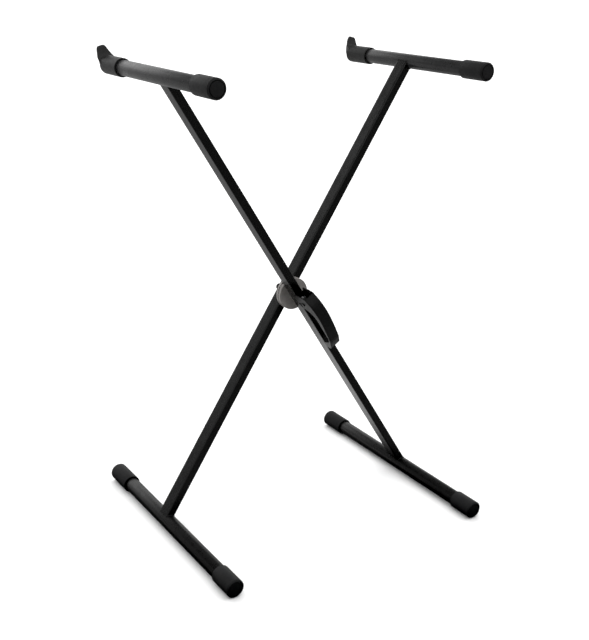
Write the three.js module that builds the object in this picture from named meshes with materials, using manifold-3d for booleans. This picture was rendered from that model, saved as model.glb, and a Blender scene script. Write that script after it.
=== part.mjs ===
// Folding X-frame keyboard stand with a spring-closed toothed clutch at the crossing of its legs.
// Millimetres, +Z up, feet on z = 0, the two arms run along Y and point at -Y.
import * as THREE from 'three';
import { mergeVertices } from 'three/addons/utils/BufferGeometryUtils.js';
import Module from 'manifold-3d';

const wasm = await Module();
wasm.setup();

// ---------------------------------------------------------------- driving dimensions
const HALF_ANGLE = THREE.MathUtils.degToRad(32.7); // each leg from the vertical
const HALF_LEG = 514.5; // hub axis to arm axis and to foot axis, along the leg
const LEG_DEPTH = 30; // leg section along Y
const LEG_THICK = 16.6; // leg section across the leg
const LEG_WALL = 1.5;
const LEG_CORNER = 1.9;
const LEG_GAP = 17; // between the facing sides of the two legs
const TUBE_OFFSET = 4.5; // arm and foot axes lie this far under the leg centre line
const TUBE_WALL = 1.4;
const ARM_R = 14;
const FOOT_R = 15;
const ARM_CAP_R = 17;
const FOOT_CAP_R = 18;
const SOLE = 17.7; // foot axis down to the small flat moulded under each foot cap
const STOP_TILT = THREE.MathUtils.degToRad(12.7); // rear stops' horns lean outward by this
const CAP_FLOOR = 3.4; // thickness of a cap's closed end
const GAP = 0.3; // clearance kept between pieces that touch
const Y_MIDDLE = 9; // plane midway between the legs

const ARM_FRONT = { left: [-220, -159], right: [-206, -146] }; // front caps: closed end, mouth
const ARM_REAR = { left: [194, 126], right: [210, 144.5] }; // rear stops: closed end, mouth
const FOOT_FRONT = { left: [-255, -199], right: [-274, -221] };
const FOOT_REAR = { left: [256, 187], right: [242, 179] };

const BOLT_R = 4;
const BORE_R = 4.4;
const DISC_R = 32;
const DISC_BODY = 4.2;
const TOOTH_HEIGHT = 2.3;
const TOOTH_INNER_R = 24;
const TEETH = 40;
const TOOTH_CLEARANCE = 0.4;
const PLATE_R = 30.5;
const WASHER_R = 9;
const WASHER_THICK = 1.6;

const LEVER_HALF_WIDTH = 12;
const LEVER_WALL = 2;
const PIVOT = { down: 5.5, y: -45.5 }; // lever pivot: distance down the leg from the hub, and y
const PUSH_PIN = { down: 0, y: -58.4 };
const HEAD_FRONT = -55.6; // front of the draw bolt's head
const HEAD_REAR = -51.6;
const SPRING_CURLS = 3;
const SPRING_WIRE_R = 0.8;
const SPRING_MEAN_R = 5.5;

const PIVOT_HEIGHT = HALF_LEG * Math.cos(HALF_ANGLE)
  + TUBE_OFFSET * Math.sin(HALF_ANGLE) + SOLE;
const LEG_PLANE = (LEG_GAP + LEG_DEPTH) / 2; // leg centre planes at -LEG_PLANE and +LEG_PLANE
const LEG_FACE = LEG_GAP / 2;
const LEG_OUTSIDE = LEG_FACE + LEG_DEPTH;

// ---------------------------------------------------------------- materials
function paint(hex, roughness, metalness) {
  return new THREE.MeshStandardMaterial({ color: hex, roughness, metalness });
}
const legPaint = () => paint(0x232426, 0.42, 0.25);
const tubePaint = () => paint(0x323335, 0.42, 0.3);
const footPaint = () => paint(0x2c2d2f, 0.42, 0.25);
const capPlastic = () => paint(0x26272a, 0.62, 0);
const stopRubber = () => paint(0x2e2f32, 0.75, 0);
const zinc = () => paint(0x9c958e, 0.3, 0.9);
const blackSteel = () => paint(0x1d1e20, 0.4, 0.5);
const springSteel = () => paint(0x6d6f72, 0.35, 0.9);
const leverPaint = () => paint(0x1b1c1e, 0.38, 0.25);

// ---------------------------------------------------------------- solids
function solid(geometry) {
  const bare = geometry.clone();
  bare.deleteAttribute('normal');
  bare.deleteAttribute('uv');
  const welded = mergeVertices(bare, 1e-4);
  const points = Float32Array.from(welded.attributes.position.array);
  const index = welded.index.array;
  const kept = [];
  let volume = 0;
  const a = new THREE.Vector3();
  const b = new THREE.Vector3();
  const c = new THREE.Vector3();
  for (let i = 0; i < index.length; i += 3) {
    const [p, q, r] = [index[i], index[i + 1], index[i + 2]];
    if (p === q || q === r || r === p) continue;
    kept.push(p, q, r);
    a.fromArray(points, 3 * p);
    b.fromArray(points, 3 * q);
    c.fromArray(points, 3 * r);
    volume += a.dot(b.cross(c)) / 6;
  }
  if (volume < 0) kept.reverse();
  const triVerts = Uint32Array.from(kept);
  return new wasm.Manifold(new wasm.Mesh({ numProp: 3, vertProperties: points, triVerts }));
}

function shell(body) {
  const raw = body.getMesh();
  const geometry = new THREE.BufferGeometry();
  const position = new THREE.BufferAttribute(Float32Array.from(raw.vertProperties), 3);
  geometry.setAttribute('position', position);
  geometry.setIndex(new THREE.BufferAttribute(Uint32Array.from(raw.triVerts), 1));
  geometry.computeVertexNormals();
  return geometry;
}

// Closed profile of [radius, y] points turned about the Y axis.
function turned(profile, segments = 32) {
  const points = profile.map(([r, y]) => new THREE.Vector2(r, y));
  return new THREE.LatheGeometry(points, segments);
}

function rod(radius, from, to, segments = 32) {
  const low = Math.min(from, to);
  const high = Math.max(from, to);
  return turned([[0, low], [radius, low], [radius, high], [0, high]], segments);
}

function pipe(outer, inner, from, to, segments = 32) {
  return turned([[inner, from], [outer, from], [outer, to], [inner, to], [inner, from]], segments);
}

// Outline of [y, down] points, extruded across the leg: x runs over the width, z is minus down.
function acrossLeg(outline, halfWidth, bevel = 0) {
  const shape = new THREE.Shape(outline.map(([y, down]) => new THREE.Vector2(y, -down)));
  const geometry = new THREE.ExtrudeGeometry(shape, {
    depth: 2 * (halfWidth - bevel),
    bevelEnabled: bevel > 0,
    bevelThickness: bevel,
    bevelSize: bevel,
    bevelOffset: -bevel,
    bevelSegments: 3,
  });
  geometry.translate(0, 0, -(halfWidth - bevel));
  const axes = new THREE.Matrix4().makeBasis(
    new THREE.Vector3(0, 1, 0), new THREE.Vector3(0, 0, 1), new THREE.Vector3(1, 0, 0));
  geometry.applyMatrix4(axes);
  return geometry;
}

function crossRod(radius, halfLength, y, down, segments = 20) {
  const geometry = rod(radius, -halfLength, halfLength, segments);
  geometry.rotateZ(-Math.PI / 2);
  geometry.translate(0, y, -down);
  return geometry;
}

function roundedRect(width, height, radius) {
  const [w, h] = [width / 2, height / 2];
  const shape = new THREE.Shape();
  shape.moveTo(w, radius - h);
  shape.lineTo(w, h - radius);
  shape.absarc(w - radius, h - radius, radius, 0, Math.PI / 2);
  shape.lineTo(radius - w, h);
  shape.absarc(radius - w, h - radius, radius, Math.PI / 2, Math.PI);
  shape.lineTo(-w, radius - h);
  shape.absarc(radius - w, radius - h, radius, Math.PI, 1.5 * Math.PI);
  shape.lineTo(w - radius, -h);
  shape.absarc(w - radius, radius - h, radius, 1.5 * Math.PI, 2 * Math.PI);
  return shape;
}

// Smooth run of points through [y, down] knots.
function smooth(knots, count) {
  const curve = new THREE.SplineCurve(knots.map(([y, down]) => new THREE.Vector2(y, down)));
  return curve.getPoints(count).map((p) => [p.x, p.y]);
}

function arc(y, down, radius, start, end, steps) {
  const points = [];
  for (let i = 0; i <= steps; i += 1) {
    const t = THREE.MathUtils.degToRad(start + (end - start) * i / steps);
    points.push([y + radius * Math.cos(t), down + radius * Math.sin(t)]);
  }
  return points;
}

// ---------------------------------------------------------------- legs
// Legs stand in their own frame: z along the leg, hub axis at the origin, y from the middle plane.
// side is -1 for the front leg and +1 for the rear leg.
function leg(side) {
  const section = roundedRect(LEG_THICK, LEG_DEPTH, LEG_CORNER);
  const inside = roundedRect(
    LEG_THICK - 2 * LEG_WALL, LEG_DEPTH - 2 * LEG_WALL, LEG_CORNER - LEG_WALL);
  section.holes.push(inside);
  const length = 2 * HALF_LEG;
  const blank = new THREE.ExtrudeGeometry(section, {
    depth: length, bevelEnabled: false, curveSegments: 3 });
  blank.translate(0, side * LEG_PLANE, -HALF_LEG);
  const saddle = (radius, z) => {
    const cutter = rod(radius + GAP, -60, 60, 64);
    cutter.translate(side * TUBE_OFFSET, 0, z);
    return solid(cutter);
  };
  return solid(blank)
    .subtract(saddle(ARM_R, HALF_LEG))
    .subtract(saddle(FOOT_R, -HALF_LEG))
    .subtract(solid(rod(BORE_R, -60, 60, 24)));
}

// ---------------------------------------------------------------- tubes and caps
function tube(radius, front, rear) {
  return solid(pipe(radius, radius - TUBE_WALL, front[0] + CAP_FLOOR + GAP,
    rear[0] - CAP_FLOOR - GAP));
}

// Cup-shaped cap from its mouth to its closed end, with a chamfered rim round a flat end disc.
function capBlank(radius, mouth, end) {
  const out = Math.sign(end - mouth);
  return turned([
    [0, mouth], [radius - 1, mouth], [radius, mouth + out], [radius, end - 3.2 * out],
    [radius - 0.8, end - 1.5 * out], [radius - 2.6, end - 0.3 * out], [radius - 3.4, end],
    [0, end]], 32);
}

function capBore(radius, mouth, end) {
  const out = Math.sign(end - mouth);
  return solid(rod(radius + GAP, mouth - 5 * out, end - CAP_FLOOR * out));
}

function armCap([end, mouth]) {
  return solid(capBlank(ARM_CAP_R, mouth, end)).subtract(capBore(ARM_R, mouth, end));
}

function footCap([end, mouth]) {
  const ground = new THREE.BoxGeometry(60, 120, 60);
  ground.translate(0, (end + mouth) / 2, -SOLE - 30);
  return solid(capBlank(FOOT_CAP_R, mouth, end))
    .subtract(capBore(FOOT_R, mouth, end))
    .subtract(solid(ground));
}

// Level sections of a rear stop's horn: height, front face y, rear face y, half widths of both.
const HORN = [
  [-12, -14, -2, 10.5, 8], [-6, -14, 3.6, 15, 11.5], [0, -14, 6.7, 16.6, 12.6],
  [8, -8, 9.3, 16.5, 11.6], [13, 1, 10.9, 15.6, 10.6], [17, 5.8, 12.2, 14, 9.8],
  [24, 8.6, 14.5, 11, 8.5], [29, 10.3, 15.7, 8.9, 7], [32, 11.2, 15.2, 7.6, 5.6],
  [33.8, 12, 14, 6.2, 4.8],
];

// Closed skin over level rings of points.
function loft(rings) {
  const n = rings[0].length;
  const index = [];
  for (let i = 0; i + 1 < rings.length; i += 1) {
    for (let k = 0; k < n; k += 1) {
      const [p, q, m] = [i * n + k, (i + 1) * n + k, (k + 1) % n - k];
      index.push(p, p + m, q + m, p, q + m, q);
    }
  }
  const last = (rings.length - 1) * n;
  for (let k = 1; k < n - 1; k += 1) index.push(0, k + 1, k, last, last + k, last + k + 1);
  const geometry = new THREE.BufferGeometry();
  geometry.setAttribute('position', new THREE.Float32BufferAttribute(rings.flat(2), 3));
  geometry.setIndex(index);
  return geometry;
}

// Horn section at one height: flat front, narrower rear, eased corners.
function hornRing([z, front, rear, wide, narrow], end) {
  const ease = Math.min(1.6, (rear - front) / 4);
  const half = [
    [wide - 1.2, front], [wide, front + ease], [narrow + 0.6, rear - ease], [narrow - 1.2, rear]];
  const far = half.map(([x, y]) => [-x, y]).reverse();
  return [...half, ...far].map(([x, y]) => [x, y + end, z]);
}

// Rear stop: a cap whose end rises into a tapering horn that leans back past the tube's end.
function rearStop([end, mouth]) {
  const horn = loft(HORN.map((level) => hornRing(level, end)));
  return solid(capBlank(ARM_CAP_R, mouth, end)).add(solid(horn))
    .subtract(capBore(ARM_R, mouth, end));
}

// ---------------------------------------------------------------- clutch
// Ring of radial teeth on one face; back is the plain face, up the direction the teeth point.
function clutchDisc(back, up) {
  const root = back + up * DISC_BODY;
  const tip = root + up * TOOTH_HEIGHT;
  let disc = solid(turned([
    [BORE_R, back], [DISC_R - 0.9, back], [DISC_R, back + 0.9 * up], [DISC_R, tip],
    [TOOTH_INNER_R, tip], [TOOTH_INNER_R - 1, root - 0.4 * up], [11, root - 0.4 * up],
    [10, root + 1.2 * up], [BORE_R, root + 1.2 * up], [BORE_R, back]], TEETH));
  const half = Math.PI * 28 / TEETH * 0.68;
  const valley = new THREE.Shape([
    new THREE.Vector2(-half, TOOTH_HEIGHT + 1), new THREE.Vector2(-half, TOOTH_HEIGHT),
    new THREE.Vector2(-half * 0.22, 0), new THREE.Vector2(half * 0.22, 0),
    new THREE.Vector2(half, TOOTH_HEIGHT), new THREE.Vector2(half, TOOTH_HEIGHT + 1)]);
  const groove = new THREE.ExtrudeGeometry(valley, { depth: 14, bevelEnabled: false });
  groove.applyMatrix4(new THREE.Matrix4().makeBasis(
    new THREE.Vector3(0, 0, up), new THREE.Vector3(0, up, 0), new THREE.Vector3(-1, 0, 0)));
  groove.translate(DISC_R + 3, root, 0);
  for (let i = 0; i < TEETH; i += 1) {
    const cutter = groove.clone();
    cutter.rotateY((i + 0.5) * 2 * Math.PI / TEETH);
    disc = disc.subtract(solid(cutter));
  }
  return disc;
}

function hubPlate(front) {
  const rear = LEG_FACE - GAP;
  return solid(turned([
    [BORE_R, front], [PLATE_R - 0.7, front], [PLATE_R, front + 0.7], [PLATE_R, rear],
    [BORE_R, rear], [BORE_R, front]], 48));
}

function drawBolt() {
  return solid(turned([
    [0, HEAD_FRONT], [3.4, HEAD_FRONT], [5.8, HEAD_FRONT + 0.7], [7, HEAD_FRONT + 1.9],
    [7, HEAD_REAR], [BOLT_R, HEAD_REAR], [BOLT_R, LEG_OUTSIDE + 10.2],
    [BOLT_R - 0.8, LEG_OUTSIDE + 11], [0, LEG_OUTSIDE + 11]], 28));
}

function washer(radius, from, to) {
  return solid(turned([
    [BORE_R, from], [radius, from], [radius, to - 0.4], [radius - 0.5, to], [BORE_R, to],
    [BORE_R, from]], 28));
}

function lockNut(from) {
  const hex = solid(rod(7.5, from, from + 5.2, 6));
  const collar = solid(turned([
    [0, from + 4], [6.2, from + 4], [6.2, from + 6.6], [5.2, from + 7.6], [0, from + 7.6]], 24));
  const crown = solid(turned([[0, from - 0.3], [7, from - 0.3], [8.2, from + 0.9],
    [8.2, from + 4.6], [6.6, from + 5.6], [6.6, from + 8], [0, from + 8]], 24));
  const bore = solid(rod(BOLT_R + GAP, from - 5, from + 15, 24));
  return hex.intersect(crown).add(collar).subtract(bore);
}

// Compression spring round the draw bolt, between the bracket and the bolt head.
function clutchSpring(front, rear) {
  const sides = 5;
  const steps = SPRING_CURLS * 8;
  const positions = [];
  const index = [];
  const low = front + SPRING_WIRE_R + GAP;
  const run = rear - GAP - SPRING_WIRE_R - low;
  const centre = (i) => {
    const t = i / 8 * 2 * Math.PI;
    return new THREE.Vector3(
      SPRING_MEAN_R * Math.cos(t), low + run * i / steps, SPRING_MEAN_R * Math.sin(t));
  };
  for (let i = 0; i <= steps; i += 1) {
    const t = i / 8 * 2 * Math.PI;
    const c = centre(i);
    for (let k = 0; k < sides; k += 1) {
      const a = k / sides * 2 * Math.PI;
      const r = SPRING_WIRE_R * Math.cos(a);
      positions.push(
        c.x + r * Math.cos(t), c.y + SPRING_WIRE_R * Math.sin(a), c.z + r * Math.sin(t));
    }
  }
  for (let i = 0; i < steps; i += 1) {
    for (let k = 0; k < sides; k += 1) {
      const n = (k + 1) % sides;
      const [p, q] = [i * sides, (i + 1) * sides];
      index.push(p + k, q + k, q + n, p + k, q + n, p + n);
    }
  }
  for (let k = 1; k < sides - 1; k += 1) {
    const end = steps * sides;
    index.push(0, k, k + 1, end, end + k + 1, end + k);
  }
  let least = Infinity;
  for (let i = 0; i <= steps; i += 1) {
    for (let j = i + 6; j <= steps; j += 1) {
      least = Math.min(least, centre(i).distanceTo(centre(j)) - 2 * SPRING_WIRE_R);
    }
  }
  console.log(`clutch spring: least gap to itself ${least.toFixed(2)} mm`);
  const geometry = new THREE.BufferGeometry();
  geometry.setAttribute('position', new THREE.Float32BufferAttribute(positions, 3));
  geometry.setIndex(index);
  return solid(geometry);
}

// ---------------------------------------------------------------- lever
// Side outline of the pressed lever, [y, down the leg from the hub].
const LEVER_WEB = smooth([
  [-78, -18.5], [-86.5, -4], [-91, 12], [-92, 30], [-89.4, 50], [-85.1, 69], [-80.8, 85],
  [-75.8, 101], [-65, 119.3]], 24);
const LEVER_REAR = [
  ...smooth([[-65, 119.3], [-58, 122.6], [-50.5, 121.6], [-46.5, 116.4], [-48.5, 110],
    [-57, 105.6], [-68, 101.5], [-74.5, 94.5], [-77.4, 85]], 14),
  ...smooth([[-78, 71], [-78.2, 58], [-77.8, 34], [-73, 24], [-64.5, 16.6], [-56, 14],
    [-48, 13.2]], 12),
  ...arc(PIVOT.y, PIVOT.down, 8, 84, 0, 6),
  [-37.5, -14], [-38.6, -17.6], [-42, -19.5], [-60, -20.5],
];

function clutchLever() {
  const outline = [...LEVER_WEB, ...LEVER_REAR];
  const farRear = -15;
  const extend = (run) => {
    const first = run[0];
    const last = run[run.length - 1];
    return [[first[0] + 10, first[1] - 17], ...run, [last[0] + 13, last[1] + 16],
      [farRear, last[1] + 16], [farRear, first[1] - 17]];
  };
  const outer = extend(LEVER_WEB);
  const inner = extend(LEVER_WEB.map(([y, down]) => [y + LEVER_WALL, down]));
  inner[0][1] -= 6;
  inner[inner.length - 1][1] -= 6;
  inner[inner.length - 3][1] += 6;
  inner[inner.length - 2][1] += 6;
  const hole = (radius, at) => solid(crossRod(radius, 30, at.y, at.down));
  return solid(acrossLeg(outer, LEVER_HALF_WIDTH, 2.4))
    .intersect(solid(acrossLeg(outline, LEVER_HALF_WIDTH + 1)))
    .subtract(solid(acrossLeg(inner, LEVER_HALF_WIDTH - LEVER_WALL, 1)))
    .subtract(hole(3.3, PIVOT))
    .subtract(hole(2.8, PUSH_PIN));
}

// Pressed U bracket on the front leg's face: carries the lever's pivots, the bolt passes its base.
function leverBracket() {
  const [outside, inside] = [9.6, 7.8];
  const base = -LEG_OUTSIDE - GAP;
  const side = [
    ...arc(PIVOT.y, PIVOT.down, 6, 90, 180, 5),
    ...arc(PIVOT.y, -7, 6, 180, 270, 5),
    [base, -13], [base, PIVOT.down + 6]];
  const tray = [
    [base - 1.8, -30], [base - 1.8, 30], [base - 30, 30], [base - 30, -30]];
  return solid(acrossLeg(side, outside))
    .subtract(solid(acrossLeg(tray, inside)))
    .subtract(solid(rod(BORE_R, base - 10, base + 10, 24)))
    .subtract(solid(crossRod(3.3, 30, PIVOT.y, PIVOT.down)));
}

// Shouldered pivot rivet through one bracket cheek and one lever cheek; side is -1 or +1.
function pivotRivet(side) {
  const profile = [
    [0, 6.9], [3.9, 6.9], [4.3, 7.5], [3, 7.5], [3, LEVER_HALF_WIDTH + GAP],
    [4.9, LEVER_HALF_WIDTH + GAP], [4.6, LEVER_HALF_WIDTH + 1.2], [3, LEVER_HALF_WIDTH + 1.8],
    [0, LEVER_HALF_WIDTH + 1.8]];
  const geometry = turned(profile, 20);
  geometry.rotateZ(-side * Math.PI / 2);
  geometry.translate(0, PIVOT.y, -PIVOT.down);
  return solid(geometry);
}

function pushPin() {
  const end = LEVER_HALF_WIDTH + 1.6;
  const geometry = turned([
    [0, -end], [3.4, -end], [3.8, -end + 0.5], [3.8, -LEVER_HALF_WIDTH - GAP],
    [2.5, -LEVER_HALF_WIDTH - GAP], [2.5, LEVER_HALF_WIDTH + GAP],
    [3.8, LEVER_HALF_WIDTH + GAP], [3.8, end - 0.5], [3.4, end], [0, end]], 20);
  geometry.rotateZ(-Math.PI / 2);
  geometry.translate(0, PUSH_PIN.y, -PUSH_PIN.down);
  return solid(geometry);
}

// ---------------------------------------------------------------- assembly
const stand = new THREE.Group();
stand.position.set(0, Y_MIDDLE, PIVOT_HEIGHT);

const frontFrame = new THREE.Group();
frontFrame.rotation.y = -HALF_ANGLE;
const rearFrame = new THREE.Group();
rearFrame.rotation.y = HALF_ANGLE;
stand.add(frontFrame, rearFrame);

function place(parent, name, body, material) {
  const mesh = new THREE.Mesh(shell(body), material);
  mesh.name = name;
  parent.add(mesh);
  return mesh;
}

// Group on a tube's axis, its z leaning outward by tilt in the stand's standing pose.
function axisGroup(frame, side, z, tilt = 0) {
  const group = new THREE.Group();
  group.position.set(side * TUBE_OFFSET, 0, z);
  group.rotation.y = side * (tilt - HALF_ANGLE);
  frame.add(group);
  return group;
}

const leftArm = axisGroup(frontFrame, -1, HALF_LEG, STOP_TILT);
const rightFoot = axisGroup(frontFrame, -1, -HALF_LEG);
const rightArm = axisGroup(rearFrame, 1, HALF_LEG, STOP_TILT);
const leftFoot = axisGroup(rearFrame, 1, -HALF_LEG);

place(frontFrame, 'front_leg', leg(-1), legPaint());
place(rearFrame, 'rear_leg', leg(1), legPaint());

for (const [name, group] of [['left', leftArm], ['right', rightArm]]) {
  const [front, rear] = [ARM_FRONT[name], ARM_REAR[name]];
  place(group, `${name}_arm_tube`, tube(ARM_R, front, rear), tubePaint());
  place(group, `${name}_arm_front_cap`, armCap(front), capPlastic());
  place(group, `${name}_arm_rear_stop`, rearStop(rear), stopRubber());
}
for (const [name, group] of [['left', leftFoot], ['right', rightFoot]]) {
  const [front, rear] = [FOOT_FRONT[name], FOOT_REAR[name]];
  place(group, `${name}_foot_tube`, tube(FOOT_R, front, rear), footPaint());
  place(group, `${name}_foot_front_cap`, footCap(front), capPlastic());
  place(group, `${name}_foot_rear_cap`, footCap(rear), capPlastic());
}

const frontDiscBack = -LEG_FACE + GAP;
const frontTip = frontDiscBack + DISC_BODY + TOOTH_HEIGHT;
const rearDiscBack = frontTip + TOOTH_CLEARANCE + TOOTH_HEIGHT + DISC_BODY;
place(frontFrame, 'front_clutch_disc', clutchDisc(frontDiscBack, 1), zinc());
place(rearFrame, 'rear_clutch_disc', clutchDisc(rearDiscBack, -1), zinc());
place(rearFrame, 'hub_plate', hubPlate(rearDiscBack + GAP), leverPaint());

const bracketFront = -LEG_OUTSIDE - GAP - 1.8;
place(frontFrame, 'draw_bolt', drawBolt(), blackSteel());
place(frontFrame, 'hub_washer',
  washer(WASHER_R, LEG_OUTSIDE + GAP, LEG_OUTSIDE + GAP + WASHER_THICK), blackSteel());
place(frontFrame, 'hub_nut', lockNut(LEG_OUTSIDE + WASHER_THICK + 2 * GAP), blackSteel());
place(frontFrame, 'clutch_spring', clutchSpring(HEAD_REAR, bracketFront), springSteel());
place(frontFrame, 'lever_bracket', leverBracket(), leverPaint());
place(frontFrame, 'clutch_lever', clutchLever(), leverPaint());
place(frontFrame, 'pivot_rivet_left', pivotRivet(-1), blackSteel());
place(frontFrame, 'pivot_rivet_right', pivotRivet(1), blackSteel());
place(frontFrame, 'push_pin', pushPin(), blackSteel());

export default stand;
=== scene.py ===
# Folding X-frame keyboard stand: looks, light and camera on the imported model. Metres, +Z up.
import math
import bpy
import bmesh
from mathutils import Matrix, Vector


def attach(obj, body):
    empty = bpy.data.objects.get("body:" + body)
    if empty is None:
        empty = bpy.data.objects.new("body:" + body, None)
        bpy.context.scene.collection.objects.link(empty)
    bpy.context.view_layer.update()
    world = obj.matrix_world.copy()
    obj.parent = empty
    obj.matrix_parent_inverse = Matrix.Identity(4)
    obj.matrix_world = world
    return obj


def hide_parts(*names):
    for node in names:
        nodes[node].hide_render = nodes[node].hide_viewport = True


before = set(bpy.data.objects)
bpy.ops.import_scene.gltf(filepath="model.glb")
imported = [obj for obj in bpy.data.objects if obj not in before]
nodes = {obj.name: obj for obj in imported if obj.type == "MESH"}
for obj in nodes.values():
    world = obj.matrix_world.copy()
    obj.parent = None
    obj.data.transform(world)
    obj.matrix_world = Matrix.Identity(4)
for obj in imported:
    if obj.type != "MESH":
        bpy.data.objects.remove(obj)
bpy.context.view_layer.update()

# ---------------------------------------------------------------- dimensions, millimetres
THETA = math.radians(32.7)  # lean of each leg
HALF_LEG = 514.5  # hub axis to arm axis or foot axis, along the leg
TUBE_OFFSET = 4.5  # arm and foot axes lie this far under the leg's centre line
SOLE = 17.7  # foot axis down to the flat under each foot cap
Y_MIDDLE = 9.0  # plane midway between the legs
HUB_Z = HALF_LEG * math.cos(THETA) + TUBE_OFFSET * math.sin(THETA) + SOLE
LEG_DEPTH, LEG_THICK, LEG_WALL, LEG_CORNER = 30.0, 16.6, 1.5, 1.9
LEG_PLANE = 23.5  # the legs' centre planes lie this far from the middle
ARM_R, FOOT_R, WALL = 14.0, 15.0, 1.4
ARM_CAP_R, FOOT_CAP_R, CAP_FLOOR = 17.0, 18.0, 3.4
FIT = 0.3  # gap left where one piece meets another
STOP_TILT = math.radians(12.7)
SEGMENTS = 96  # round the tubes and caps
SHARP = 35.0  # degrees; edges over this are shaded hard
SIDE = {"front": -1, "rear": 1}
# Each tube's leg, then its front and its rear end as (closed end of cap, mouth of cap).
ARM = {"left": ("front", (-220, -159), (194, 126)), "right": ("rear", (-206, -146), (210, 144.5))}
FOOT = {"left": ("rear", (-255, -199), (256, 187)), "right": ("front", (-274, -221), (242, 179))}


def leg_matrix(which):
    """Millimetres in a leg's own frame (z along the leg, hub axis at the origin) to metres."""
    turn = Matrix.Rotation(SIDE[which] * THETA, 4, "Y")
    shift = Matrix.Translation(Vector((0, Y_MIDDLE, HUB_Z)))
    return Matrix.Scale(0.001, 4) @ shift @ turn


def axis_matrix(which, z, tilt=0.0):
    """Millimetres on an arm's or foot's axis, z upright or leaning outward, to metres."""
    side = SIDE[which]
    place = Matrix.Translation(Vector((side * TUBE_OFFSET, 0, z)))
    turn = Matrix.Rotation(side * (tilt - THETA), 4, "Y")
    return leg_matrix(which) @ place @ turn


# ---------------------------------------------------------------- mesh helpers
def new_object(name, verts, faces, matrix=None, sharp=SHARP):
    mesh = bpy.data.meshes.new(name)
    mesh.from_pydata([tuple(v) for v in verts], [], faces)
    if matrix is not None:
        mesh.transform(matrix)
    tidy(mesh, sharp)
    obj = bpy.data.objects.new(name, mesh)
    bpy.context.scene.collection.objects.link(obj)
    return obj


def tidy(mesh, sharp=SHARP):
    """Merge doubled points, turn the faces outward and set the shading."""
    bm = bmesh.new()
    bm.from_mesh(mesh)
    bmesh.ops.remove_doubles(bm, verts=bm.verts, dist=1e-7)
    bmesh.ops.dissolve_degenerate(bm, edges=bm.edges, dist=1e-8)
    bmesh.ops.recalc_face_normals(bm, faces=bm.faces)
    bm.to_mesh(mesh)
    bm.free()
    mesh.shade_smooth()
    mesh.set_sharp_from_angle(angle=math.radians(sharp))


def closed_grid(rows, n):
    """Quads of rows of n points each, joined round both ways."""
    faces = []
    for i in range(rows):
        j = (i + 1) % rows
        for k in range(n):
            m = (k + 1) % n
            faces.append((i * n + k, j * n + k, j * n + m, i * n + m))
    return faces


def bridge(a, b):
    """Quads between two closed rings of point numbers."""
    n = len(a)
    return [(a[k], a[(k + 1) % n], b[(k + 1) % n], b[k]) for k in range(n)]


def lathe(profile, segments, shape=None):
    """Closed (radius, y) profile turned about Y; shape(r, y, angle) may move a point."""
    verts = []
    for i in range(segments):
        a = 2 * math.pi * i / segments
        for r, y in profile:
            if shape:
                r, y = shape(r, y, a)
            verts.append((r * math.sin(a), y, r * math.cos(a)))
    return verts, closed_grid(segments, len(profile))


def rounded(profile, radius, steps=4):
    """Closed profile of (x, y) or (x, y, own radius) corners, each turned into an arc."""
    out = []
    n = len(profile)
    for i, corner in enumerate(profile):
        p = Vector(corner[:2])
        r = corner[2] if len(corner) > 2 else radius
        to_last = Vector(profile[i - 1][:2]) - p
        to_next = Vector(profile[(i + 1) % n][:2]) - p
        if r <= 0 or to_last.length < 1e-6 or to_next.length < 1e-6:
            out.append(tuple(p))
            continue
        u, v = to_last.normalized(), to_next.normalized()
        half = u.angle(v) / 2
        if half > math.radians(88):  # as good as straight
            out.append(tuple(p))
            continue
        cut = min(r / math.tan(half), to_last.length * 0.48, to_next.length * 0.48)
        r = cut * math.tan(half)
        centre = p + (u + v).normalized() * (r / math.sin(half))
        start, end = p + u * cut - centre, p + v * cut - centre
        a0 = math.atan2(start.y, start.x)
        a1 = math.atan2(end.y, end.x)
        while a1 - a0 > math.pi:
            a1 -= 2 * math.pi
        while a0 - a1 > math.pi:
            a1 += 2 * math.pi
        for k in range(steps + 1):
            t = a0 + (a1 - a0) * k / steps
            out.append((centre.x + r * math.cos(t), centre.y + r * math.sin(t)))
    return out


def apply_modifiers(obj):
    graph = bpy.context.evaluated_depsgraph_get()
    bpy.context.view_layer.update()
    mesh = bpy.data.meshes.new_from_object(obj.evaluated_get(graph))
    obj.modifiers.clear()
    old = obj.data
    obj.data = mesh
    bpy.data.meshes.remove(old)
    tidy(mesh)


def boolean(obj, other, operation):
    """Cut or join obj with other, which is used up."""
    mod = obj.modifiers.new("cut", "BOOLEAN")
    mod.operation = operation
    mod.solver = "EXACT"
    mod.object = other
    bpy.context.view_layer.update()
    apply_modifiers(obj)
    bpy.data.objects.remove(other)


def finish_piece(obj, material, body, slot, *stands_for):
    obj.data.materials.clear()
    obj.data.materials.append(material)
    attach(obj, body)
    if stands_for:
        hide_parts(*stands_for)
    return obj


# ---------------------------------------------------------------- node helpers
def node(tree, kind, settings=None, **inputs):
    """New node; each input, by name or as i and its number, takes a constant or an output."""
    made = tree.nodes.new(kind)
    for key, value in (settings or {}).items():
        setattr(made, key, value)
    for key, value in inputs.items():
        socket = made.inputs[int(key[1:])] if key[0] == "i" else made.inputs[key]
        if isinstance(value, bpy.types.NodeSocket):
            tree.links.new(value, socket)
        else:
            socket.default_value = value
    return made


def eased(tree, value, start, end, low, high):
    """Value eased from low to high as it runs from start to end."""
    made = node(tree, "ShaderNodeMapRange", {"interpolation_type": "SMOOTHSTEP"},
                i0=value, i1=start, i2=end, i3=low, i4=high)
    return made.outputs["Result"]


def math_node(tree, operation, a, b):
    return node(tree, "ShaderNodeMath", {"operation": operation}, i0=a, i1=b).outputs[0]


def product(tree, first, *factors):
    for factor in factors:
        first = math_node(tree, "MULTIPLY", first, factor)
    return first


def mixed(tree, factor, a, b):
    made = node(tree, "ShaderNodeMix", {"data_type": "FLOAT"}, i0=factor, i2=a, i3=b)
    return made.outputs[0]


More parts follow.
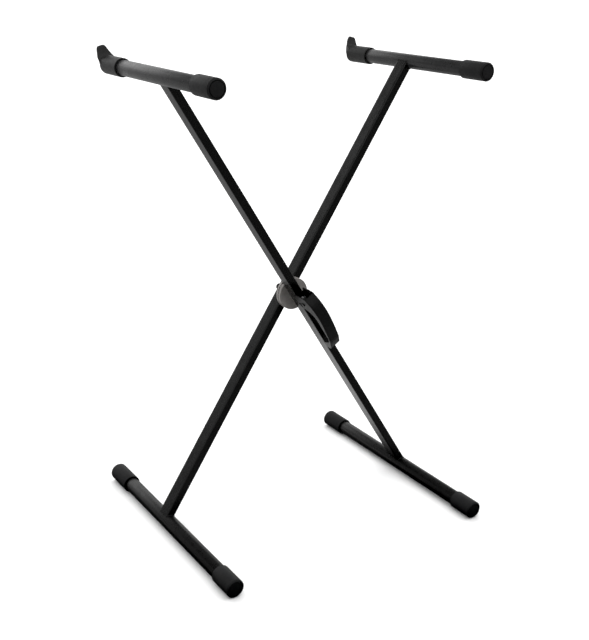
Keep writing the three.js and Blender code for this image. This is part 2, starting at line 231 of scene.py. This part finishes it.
def noise(tree, coords, scale, detail, rough=0.55):
    made = node(tree, "ShaderNodeTexNoise", Vector=coords, Scale=scale, Detail=detail,
                Roughness=rough)
    return made.outputs["Fac"]


def ramp(tree, fac, low, high):
    """Colour from low to high over the middle of a noise's range."""
    made = node(tree, "ShaderNodeValToRGB", Fac=fac)
    elements = made.color_ramp.elements
    elements[0].position, elements[1].position = 0.35, 0.65
    elements[0].color, elements[1].color = (*low, 1), (*high, 1)
    return made.outputs["Color"]


def spread(tree, fac, low, high):
    """Number from low to high over the middle of a noise's range."""
    made = node(tree, "ShaderNodeMapRange", i0=fac, i1=0.3, i2=0.7, i3=low, i4=high)
    return made.outputs["Result"]


def bumped(tree, shader, layers):
    """Chain of (height, strength, distance in metres) into the shader's normal."""
    below = {}
    for height, strength, distance in layers:
        made = node(tree, "ShaderNodeBump", Height=height, Strength=strength, Distance=distance,
                    **below)
        below = {"Normal": made.outputs["Normal"]}
    tree.links.new(below["Normal"], shader.inputs["Normal"])


# ---------------------------------------------------------------- materials
PEEL, GRAIN, BRUSH = 0.12, 0.25, 0.02  # bump strengths of enamel, plastic and metal


def grey(value, blue=0.0):
    return value, value, value + blue


def new_material(name):
    mat = bpy.data.materials.new(name)
    mat.use_nodes = True
    tree = mat.node_tree
    shader = tree.nodes["Principled BSDF"]
    coords = tree.nodes.new("ShaderNodeTexCoord").outputs["Object"]
    return mat, tree, shader, coords


def painted(name, dark, light, rough, specular=0.5):
    """Sprayed enamel on steel: fine orange peel, faint tone drift and rubbed, duller patches."""
    mat, tree, shader, coords = new_material(name)
    drift = noise(tree, coords, 22, 4)
    tree.links.new(ramp(tree, drift, dark, light), shader.inputs["Base Color"])
    rubbed = noise(tree, coords, 60, 6, 0.7)
    tree.links.new(spread(tree, rubbed, rough - 0.05, rough + 0.07), shader.inputs["Roughness"])
    fine = noise(tree, coords, 1400, 2)
    coarse = noise(tree, coords, 420, 2)
    bumped(tree, shader, [(coarse, PEEL, 0.0004), (fine, PEEL * 0.7, 0.00015)])
    shader.inputs["Specular IOR Level"].default_value = specular
    return mat


def moulded(name, dark, light, rough, specular):
    """Moulded plastic or rubber: fine spark grain and slight blooming."""
    mat, tree, shader, coords = new_material(name)
    bloom = noise(tree, coords, 45, 5, 0.6)
    tree.links.new(ramp(tree, bloom, dark, light), shader.inputs["Base Color"])
    spots = noise(tree, coords, 240, 3)
    tree.links.new(spread(tree, spots, rough - 0.06, rough + 0.06), shader.inputs["Roughness"])
    fine = noise(tree, coords, 2600, 2)
    soft = noise(tree, coords, 700, 2)
    bumped(tree, shader, [(soft, GRAIN * 0.5, 0.0003), (fine, GRAIN, 0.00012)])
    shader.inputs["Specular IOR Level"].default_value = specular
    return mat


def metal(name, dark, light, rough, turned=0.0):
    """Plated steel: cloudy tone, small scuffs and, where turned is set, turned grain about Y."""
    mat, tree, shader, coords = new_material(name)
    cloud = noise(tree, coords, 70, 5)
    tree.links.new(ramp(tree, cloud, dark, light), shader.inputs["Base Color"])
    scuff = noise(tree, coords, 160, 4, 0.6)
    tree.links.new(spread(tree, scuff, rough - 0.03, rough + 0.05), shader.inputs["Roughness"])
    bumped(tree, shader, [(scuff, BRUSH, 0.0001)])
    shader.inputs["Metallic"].default_value = 0.75
    if turned:
        tangent = node(tree, "ShaderNodeTangent", {"direction_type": "RADIAL", "axis": "Y"})
        tree.links.new(tangent.outputs["Tangent"], shader.inputs["Tangent"])
        shader.inputs["Anisotropic"].default_value = turned
    return mat


arm_paint = painted("arm_enamel", grey(0.014, 0.0005), grey(0.019, 0.0005), 0.29, 0.4)
leg_paint = painted("leg_enamel", grey(0.0016), grey(0.0026), 0.26, 0.42)
foot_paint = painted("foot_enamel", grey(0.0016), grey(0.0026), 0.28, 0.34)
lever_paint = painted("lever_enamel", grey(0.005), grey(0.0065), 0.34, 0.2)
hub_paint = painted("hub_enamel", grey(0.003), grey(0.0045), 0.35)
black_steel = painted("black_steel", grey(0.004), grey(0.006), 0.4)
cap_plastic = moulded("cap_plastic", grey(0.008, 0.0005), grey(0.011, 0.0005), 0.5, 0.2)
stop_rubber = moulded("stop_rubber", grey(0.009), grey(0.012), 0.45, 0.36)
zinc = metal("zinc_plate", (0.37, 0.35, 0.335), (0.45, 0.43, 0.415), 0.32, turned=0.6)
spring_steel = metal("spring_steel", grey(0.3, 0.01), grey(0.38, 0.01), 0.35)


# ---------------------------------------------------------------- tubes
def shell_tube(name, radius, front, rear, which, z):
    """Open tube that ends just short of the floors of its two caps."""
    y0 = front[0] + CAP_FLOOR + FIT
    y1 = rear[0] - CAP_FLOOR - FIT
    profile = rounded([(radius - WALL, y0), (radius, y0), (radius, y1), (radius - WALL, y1)],
                      0.3, 2)
    return new_object(name, *lathe(profile, SEGMENTS), axis_matrix(which, z))


for side, (which, front, rear) in ARM.items():
    tube = shell_tube(f"{side}_arm", ARM_R, front, rear, which, HALF_LEG)
    finish_piece(tube, arm_paint, f"{which}_frame", "arm_paint", f"{side}_arm_tube")
for side, (which, front, rear) in FOOT.items():
    tube = shell_tube(f"{side}_foot", FOOT_R, front, rear, which, -HALF_LEG)
    finish_piece(tube, foot_paint, f"{which}_frame", "foot_paint", f"{side}_foot_tube")


# ---------------------------------------------------------------- caps
def cap(radius, tube_radius, mouth, end):
    """Points and faces of a cup whose end tapers to a ring, a groove and a sunken disc."""
    out = 1 if end > mouth else -1
    bore = tube_radius + FIT
    groove = end - 2.0 * out
    disc = end - 0.3 * out
    floor = end - (CAP_FLOOR + 0.1) * out
    profile = rounded([
        (bore, mouth, 0.5), (radius, mouth, 0.7), (radius, end - 2.4 * out, 0.8),
        (radius - 2.6, end, 0.4), (radius - 3.1, end, 0.2), (radius - 3.2, groove, 0.2),
        (radius - 4.5, groove, 0.2), (radius - 4.6, disc, 0.3), (0.001, disc, 0),
        (0.001, floor, 0), (bore, floor, 0.3)], 0.4, 4)
    return lathe(profile, SEGMENTS)


def soled(verts):
    """Cut the underside flat where it stands on the floor."""
    return [(x, y, max(z, -SOLE)) for x, y, z in verts]


for side, (which, (end, mouth), rear) in ARM.items():
    piece = new_object(f"{side}_arm_cap", *cap(ARM_CAP_R, ARM_R, mouth, end),
                       axis_matrix(which, HALF_LEG))
    finish_piece(piece, cap_plastic, f"{which}_frame", "cap_plastic", f"{side}_arm_front_cap")
for side, (which, *ends) in FOOT.items():
    for word, (end, mouth) in zip(("front", "rear"), ends):
        verts, faces = cap(FOOT_CAP_R, FOOT_R, mouth, end)
        piece = new_object(f"{side}_foot_{word}_end", soled(verts), faces,
                           axis_matrix(which, -HALF_LEG))
        finish_piece(piece, cap_plastic, f"{which}_frame", "cap_plastic",
                     f"{side}_foot_{word}_cap")


# Horn levels: height, front face, rear face, half width in front, half width behind; front
# and rear are measured from the stop's closed end.
HORN = [
    (-12, -14, -2, 10.5, 8), (-6, -14, 3.6, 15, 11.5), (0, -14, 6.7, 16.6, 12.6),
    (8, -8, 9.8, 16.4, 12.2), (13, 0.6, 11.6, 15.6, 11.4), (17, 5.2, 13.2, 14.2, 10.4),
    (24, 8.2, 15.8, 11.4, 9.4), (29, 9.8, 16.8, 9.5, 8), (32, 10.8, 16.4, 7.9, 6.6),
    (33.8, 11.8, 15, 5.6, 4.8),
]
HORN_STEPS = 4  # rings between two levels
VOXEL = 0.5  # grain in which horn and cap grow together


def through(before, low, high, after, t):
    """Point between low and high of a curve that passes through all four levels."""
    return [b + 0.5 * t * (c - a + t * (2 * a - 5 * b + 4 * c - d + t * (3 * (b - c) + d - a)))
            for a, b, c, d in zip(before, low, high, after)]


def horn(name, end):
    """Loft through the levels, each a ring with eight rounded corners."""
    levels = []
    for i in range(len(HORN) - 1):
        before, after = HORN[max(i - 1, 0)], HORN[min(i + 2, len(HORN) - 1)]
        levels += [through(before, HORN[i], HORN[i + 1], after, k / HORN_STEPS)
                   for k in range(HORN_STEPS)]
    levels.append(HORN[-1])
    verts, rings = [], []
    for z, front, rear, wide, narrow in levels:
        bevel = min(1.6, (rear - front) / 4)
        half = [(wide - 1.2, front), (wide, front + bevel), (narrow + 0.6, rear - bevel),
                (narrow - 1.2, rear)]
        outline = rounded(half + [(-x, y) for x, y in reversed(half)], 0.8, 3)
        rings.append(range(len(verts), len(verts) + len(outline)))
        verts += [(x, end + y, z) for x, y in outline]
    faces = []
    for low, high in zip(rings, rings[1:]):
        faces += bridge(low, high)
    faces += [tuple(rings[0]), tuple(reversed(rings[-1]))]
    return new_object(name, verts, faces)


def rear_stop(name, which, end, mouth):
    """Solid cap grown together with its horn, then bored for the arm tube."""
    blank = rounded([(0.001, mouth, 0), (ARM_CAP_R, mouth, 0.8), (ARM_CAP_R, end, 3.2),
                     (0.001, end, 0)], 0.5, 6)
    blade = horn(name + "_horn", end)
    body = new_object(name, *lathe(blank, SEGMENTS))
    boolean(body, blade, "UNION")
    remesh = body.modifiers.new("grain", "REMESH")
    remesh.mode = "VOXEL"
    remesh.voxel_size = VOXEL
    soften = body.modifiers.new("soften", "SMOOTH")
    soften.factor = 0.5
    soften.iterations = 3
    apply_modifiers(body)
    bore, past, floor = ARM_R + FIT, mouth - 5, end - CAP_FLOOR
    cutter = lathe([(0.001, past), (bore, past), (bore, floor), (0.001, floor)], SEGMENTS)
    boolean(body, new_object(name + "_bore", *cutter), "DIFFERENCE")
    body.data.transform(axis_matrix(which, HALF_LEG, STOP_TILT))
    return body


for side, (which, front, rear) in ARM.items():
    stop = rear_stop(f"{side}_stop", which, *rear)
    finish_piece(stop, stop_rubber, f"{which}_frame", "stop_rubber", f"{side}_arm_rear_stop")

# ---------------------------------------------------------------- legs
OUTER_ROWS, INNER_ROWS = 25, 3  # rings of points along a leg's outside and inside
WELD_BEAD = 1.0
WELD_SIDES = 10


def leg_outline(width, depth, radius, per_side=8):
    """Rounded rectangle whose straight sides are cut in per_side pieces."""
    corners = rounded([(-width / 2, -depth / 2), (width / 2, -depth / 2),
                       (width / 2, depth / 2), (-width / 2, depth / 2)], radius, 5)
    out = []
    for p, q in zip(corners, corners[1:] + corners[:1]):
        count = per_side if math.dist(p, q) > radius else 1
        for k in range(count):
            out.append((p[0] + (q[0] - p[0]) * k / count, p[1] + (q[1] - p[1]) * k / count))
    return out


def leg_end(x, radius, side):
    """Distance from the hub at which a leg meets a tube of this radius."""
    dx = x - side * TUBE_OFFSET
    return HALF_LEG - math.sqrt(radius ** 2 - dx ** 2)


def leg(name, which):
    """Tube wall whose ends are hollowed to fit the round arm and foot."""
    side = SIDE[which]
    outer = leg_outline(LEG_THICK, LEG_DEPTH, LEG_CORNER)
    inner = leg_outline(LEG_THICK - 2 * LEG_WALL, LEG_DEPTH - 2 * LEG_WALL, LEG_CORNER - LEG_WALL)
    verts, walls = [], []
    for outline, rows in ((outer, OUTER_ROWS), (inner, INNER_ROWS)):
        rings = []
        for row in range(rows):
            t = row / (rows - 1)
            rings.append(range(len(verts), len(verts) + len(outline)))
            for x, y in outline:
                low = -leg_end(x, FOOT_R + FIT, side)
                high = leg_end(x, ARM_R + FIT, side)
                verts.append((x, y + side * LEG_PLANE, low + (high - low) * t))
        walls.append(rings)
    outside, inside = walls
    pairs = [*zip(outside, outside[1:]), *zip(inside, inside[1:]),
             (outside[0], inside[0]), (outside[-1], inside[-1])]
    faces = []
    for a, b in pairs:
        faces += bridge(a, b)
    return new_object(name, verts, faces, leg_matrix(which))


for which in ("front", "rear"):
    finish_piece(leg(f"{which}_leg_tube", which), leg_paint, f"{which}_frame", "leg_paint",
                 f"{which}_leg")


def weld(name, which, z, radius):
    """Bead of overlapping weld ripples where a leg meets its arm or foot tube."""
    side = SIDE[which]
    out = 1 if z > 0 else -1
    path = leg_outline(LEG_THICK + 0.3, LEG_DEPTH + 0.3, LEG_CORNER + 0.15, 24)
    points = [Vector((x, y + side * LEG_PLANE, out * leg_end(x, radius + 0.2, side)))
              for x, y in path]
    verts = []
    walked = 0.0
    for i, p in enumerate(points):
        tangent = (points[(i + 1) % len(points)] - points[i - 1]).normalized()
        normal = tangent.cross(Vector((0, 0, 1))).normalized()
        up = normal.cross(tangent).normalized()
        walked += (p - points[i - 1]).length if i else 0
        ripple = 0.1 * math.sin(walked * 2.6) + 0.07 * math.sin(walked * 0.9 + side)
        swell = WELD_BEAD * (1 + ripple)
        for k in range(WELD_SIDES):
            a = 2 * math.pi * k / WELD_SIDES
            verts.append(p + normal * math.cos(a) * swell + up * math.sin(a) * swell)
    return new_object(name, verts, closed_grid(len(points), WELD_SIDES), leg_matrix(which), 60)


for which, top, low in (("front", "left_arm", "right_foot"), ("rear", "right_arm", "left_foot")):
    bead = weld(f"{top}_weld", which, HALF_LEG, ARM_R)
    finish_piece(bead, leg_paint, f"{which}_frame", "leg_paint")
    bead = weld(f"{low}_weld", which, -HALF_LEG, FOOT_R)
    finish_piece(bead, foot_paint, f"{which}_frame", "foot_paint")

# ---------------------------------------------------------------- clutch discs
TEETH = 40
TOOTH_STEPS = 12  # points round one tooth
DISC_R, TOOTH_INNER, DISC_BODY, TOOTH = 32.0, 24.0, 4.2, 2.3
DISC_GAP = 0.4  # between the tips of the two rings of teeth
HUB_BORE = 4.4
HUB_FACE = 8.2  # discs and plate fill the room between the legs to this far from the middle
PLATE_R = 30.5


def clutch_disc(name, which, back, up):
    """Disc with a raised ring of radial teeth; up is the way along Y that they point."""
    root = back + up * DISC_BODY
    pitch = 2 * math.pi / TEETH
    width = (DISC_R + TOOTH_INNER) / 2 * pitch
    valley, crest = 0.22 * 0.34 * width, 0.34 * width
    # Stand-ins in the profile for the teeth's shoulders and tips; shape() puts them in place.
    shoulder, tip = root + 1, root + 2

    def height(angle):
        """Share of the tooth's height, from the distance to the middle of a valley."""
        t = abs(((angle / pitch) % 1.0) - 0.5) * width
        return min(1.0, max(0.0, (t - valley) / (crest - valley)))

    profile = [
        (HUB_BORE, back), (DISC_R - 1, back), (DISC_R - 0.6, back + 0.1 * up),
        (DISC_R - 0.25, back + 0.35 * up), (DISC_R - 0.05, back + 0.7 * up),
        (DISC_R, back + 1.1 * up), (DISC_R, root), (DISC_R, shoulder), (DISC_R - 0.4, tip),
        (TOOTH_INNER + 0.2, tip), (TOOTH_INNER, shoulder), (TOOTH_INNER - 0.4, root - 0.4 * up),
        (11, root - 0.4 * up), (10.4, root + 1.2 * up), (HUB_BORE, root + 1.2 * up)]

    def shape(r, y, a):
        if y not in (shoulder, tip):
            return r, y
        tall = TOOTH * height(a)
        return r, root + up * tall * (0.85 if y == shoulder else 1.0)

    verts, faces = lathe(profile, TEETH * TOOTH_STEPS, shape)
    return new_object(name, verts, faces, leg_matrix(which), 30)


rear_back = -HUB_FACE + 2 * (DISC_BODY + TOOTH) + DISC_GAP
finish_piece(clutch_disc("front_toothed_disc", "front", -HUB_FACE, 1), zinc, "front_frame",
             "zinc", "front_clutch_disc")
finish_piece(clutch_disc("rear_toothed_disc", "rear", rear_back, -1), zinc, "rear_frame",
             "zinc", "rear_clutch_disc")
plate_front = rear_back + FIT
plate = lathe(rounded([(HUB_BORE, plate_front), (PLATE_R, plate_front, 0.9),
                       (PLATE_R, HUB_FACE, 0.4), (HUB_BORE, HUB_FACE)], 0.2, 4), 128)
finish_piece(new_object("hub_backing", *plate, leg_matrix("rear")), hub_paint, "rear_frame",
             "hub_paint", "hub_plate")

# ---------------------------------------------------------------- carried-over solids
CARRIED = {
    "draw_bolt": black_steel, "hub_washer": black_steel, "hub_nut": black_steel,
    "clutch_spring": spring_steel, "lever_bracket": lever_paint, "clutch_lever": lever_paint,
    "pivot_rivet_left": black_steel, "pivot_rivet_right": black_steel, "push_pin": black_steel,
}
for name, material in CARRIED.items():
    data = nodes[name].data
    data.materials.clear()
    data.materials.append(material)

# ---------------------------------------------------------------- floor and world
PAPER = 0.95  # the paper's own tone
PAPER_HALF = 60  # metres
PAINTED_POOL_CENTRE = (0.15, 0.24, 0.0)  # centre of a painted pool of light on the paper, between the feet; only reflections see it
SOFT_SUN = Vector((0.25, 0.55, 0.80)).normalized()


def paper_floor():
    """White paper sweep, evenly white to the camera. Reflections see painted light on it: a
    painted pool of light between the feet that falls off away from it, painted shade towards the
    front, and painted shade for rays that start close by, under the stand."""
    a = PAPER_HALF
    sweep = new_object("studio_floor", [(-a, -a, 0), (a, -a, 0), (a, a, 0), (-a, a, 0)],
                       [(0, 1, 2, 3)])
    mat, tree, shader, place = new_material("floor_paper")
    shader.inputs["Roughness"].default_value = 0.9
    shader.inputs["Specular IOR Level"].default_value = 0.0
    behind = node(tree, "ShaderNodeSeparateXYZ", i0=place).outputs["Y"]
    # Painted shade: reflections see the paper darker towards the front and lighter behind.
    painted_front_shade = eased(tree, behind, -0.4, 0.4, 0.12, 0.34)
    # Painted pool of light: reflections see the paper brighter round a spot between the feet.
    reach = node(tree, "ShaderNodeVectorMath", {"operation": "DISTANCE"}, i0=place,
                 i1=PAINTED_POOL_CENTRE).outputs["Value"]
    painted_pool = eased(tree, reach, 0.06, 0.38, 1.0, 0.0)
    mirrored = mixed(tree, painted_pool, painted_front_shade, 0.75)
    path = tree.nodes.new("ShaderNodeLightPath").outputs
    tone = mixed(tree, path["Is Glossy Ray"], PAPER, mirrored)
    # Painted shade: rays that start close by, under the stand, see the paper darker, like a
    # contact shadow.
    painted_near_shade_diffuse = eased(tree, path["Ray Length"], 0.05, 0.8, 0.08, 1.0)
    painted_near_shade_glossy = eased(tree, path["Ray Length"], 0.03, 0.22, 0.1, 1.0)
    painted_near_shade = mixed(tree, path["Is Glossy Ray"], painted_near_shade_diffuse, painted_near_shade_glossy)
    tone = mixed(tree, path["Is Camera Ray"], product(tree, tone, painted_near_shade), PAPER)
    tree.links.new(node(tree, "ShaderNodeCombineColor", i0=tone, i1=tone, i2=tone).outputs[0],
                   shader.inputs["Base Color"])
    sweep.data.materials.append(mat)


def studio_world():
    """Soft light from above and behind. Mirrored, a lit backdrop behind and a dim room in
    front; white to the camera."""
    world = bpy.data.worlds.new("studio")
    bpy.context.scene.world = world
    world.use_nodes = True
    tree = world.node_tree
    way = tree.nodes.new("ShaderNodeTexCoord").outputs["Generated"]
    parts = node(tree, "ShaderNodeSeparateXYZ", i0=way).outputs
    facing = node(tree, "ShaderNodeVectorMath", {"operation": "DOT_PRODUCT"}, i0=way,
                  i1=tuple(SOFT_SUN)).outputs["Value"]
    soft = eased(tree, facing, -0.2, 1.0, 0.25, 2.2)

    leaning = math_node(tree, "SUBTRACT", parts["X"], math_node(tree, "MULTIPLY", parts["Z"], 0.6))
    left_edge = eased(tree, leaning, -0.585, -0.53, 0.21, 1.0)
    left_glow = eased(tree, parts["X"], -0.1, 0.4, 1.5, 1.0)
    top_edge = eased(tree, parts["Z"], 0.47, 0.54, 1.0, 0.12)
    foot_shade = eased(tree, parts["Z"], 0.12, 0.20, 0.5, 1.0)
    behind = eased(tree, parts["Y"], -0.3, 0.5, 0.0, 1.0)
    backdrop = product(tree, left_edge, left_glow, top_edge, foot_shade, behind)

    in_front = eased(tree, parts["Y"], -0.3, 0.5, 1.0, 0.0)
    ceiling = eased(tree, parts["Z"], 0.0, 0.5, 0.11, 0.9)
    mirrored = math_node(tree, "ADD", backdrop, product(tree, in_front, ceiling))

    path = tree.nodes.new("ShaderNodeLightPath").outputs
    strength = mixed(tree, path["Is Glossy Ray"], soft, mirrored)
    strength = mixed(tree, path["Is Camera Ray"], strength, 1.0)
    background = tree.nodes["Background"]
    background.inputs["Color"].default_value = (1, 1, 1, 1)
    tree.links.new(strength, background.inputs["Strength"])


paper_floor()
studio_world()

# ---------------------------------------------------------------- camera and view
PHOTO_WIDTH, FOCAL_PIXELS, SENSOR = 589.0, 995.67, 36.0
CAMERA_AT = Vector((-1.0161, -1.5504, 1.0657))
YAW = math.radians(33.299)
PITCH = math.radians(19.793)
ROLL = math.radians(-0.973)
BLACK_LEVEL = 0.0035

camera_data = bpy.data.cameras.new("photo_camera")
camera_data.sensor_fit = "HORIZONTAL"
camera_data.sensor_width = SENSOR
camera_data.lens = FOCAL_PIXELS * SENSOR / PHOTO_WIDTH
camera = bpy.data.objects.new("photo_camera", camera_data)
bpy.context.scene.collection.objects.link(camera)
forward = Vector((math.sin(YAW) * math.cos(PITCH), math.cos(YAW) * math.cos(PITCH),
                  -math.sin(PITCH)))
level = Vector((math.cos(YAW), -math.sin(YAW), 0))
down = forward.cross(level)
right = level * math.cos(ROLL) + down * math.sin(ROLL)
down = down * math.cos(ROLL) - level * math.sin(ROLL)
camera.matrix_world = Matrix.Translation(CAMERA_AT) @ Matrix((
    (right.x, -down.x, -forward.x, 0), (right.y, -down.y, -forward.y, 0),
    (right.z, -down.z, -forward.z, 0), (0, 0, 0, 1)))
bpy.context.scene.camera = camera
view = bpy.context.scene.view_settings
view.view_transform = "Standard"
view.use_curve_mapping = True
view.curve_mapping.black_level = (BLACK_LEVEL, BLACK_LEVEL, BLACK_LEVEL)
view.curve_mapping.update()

bpy.context.view_layer.update()
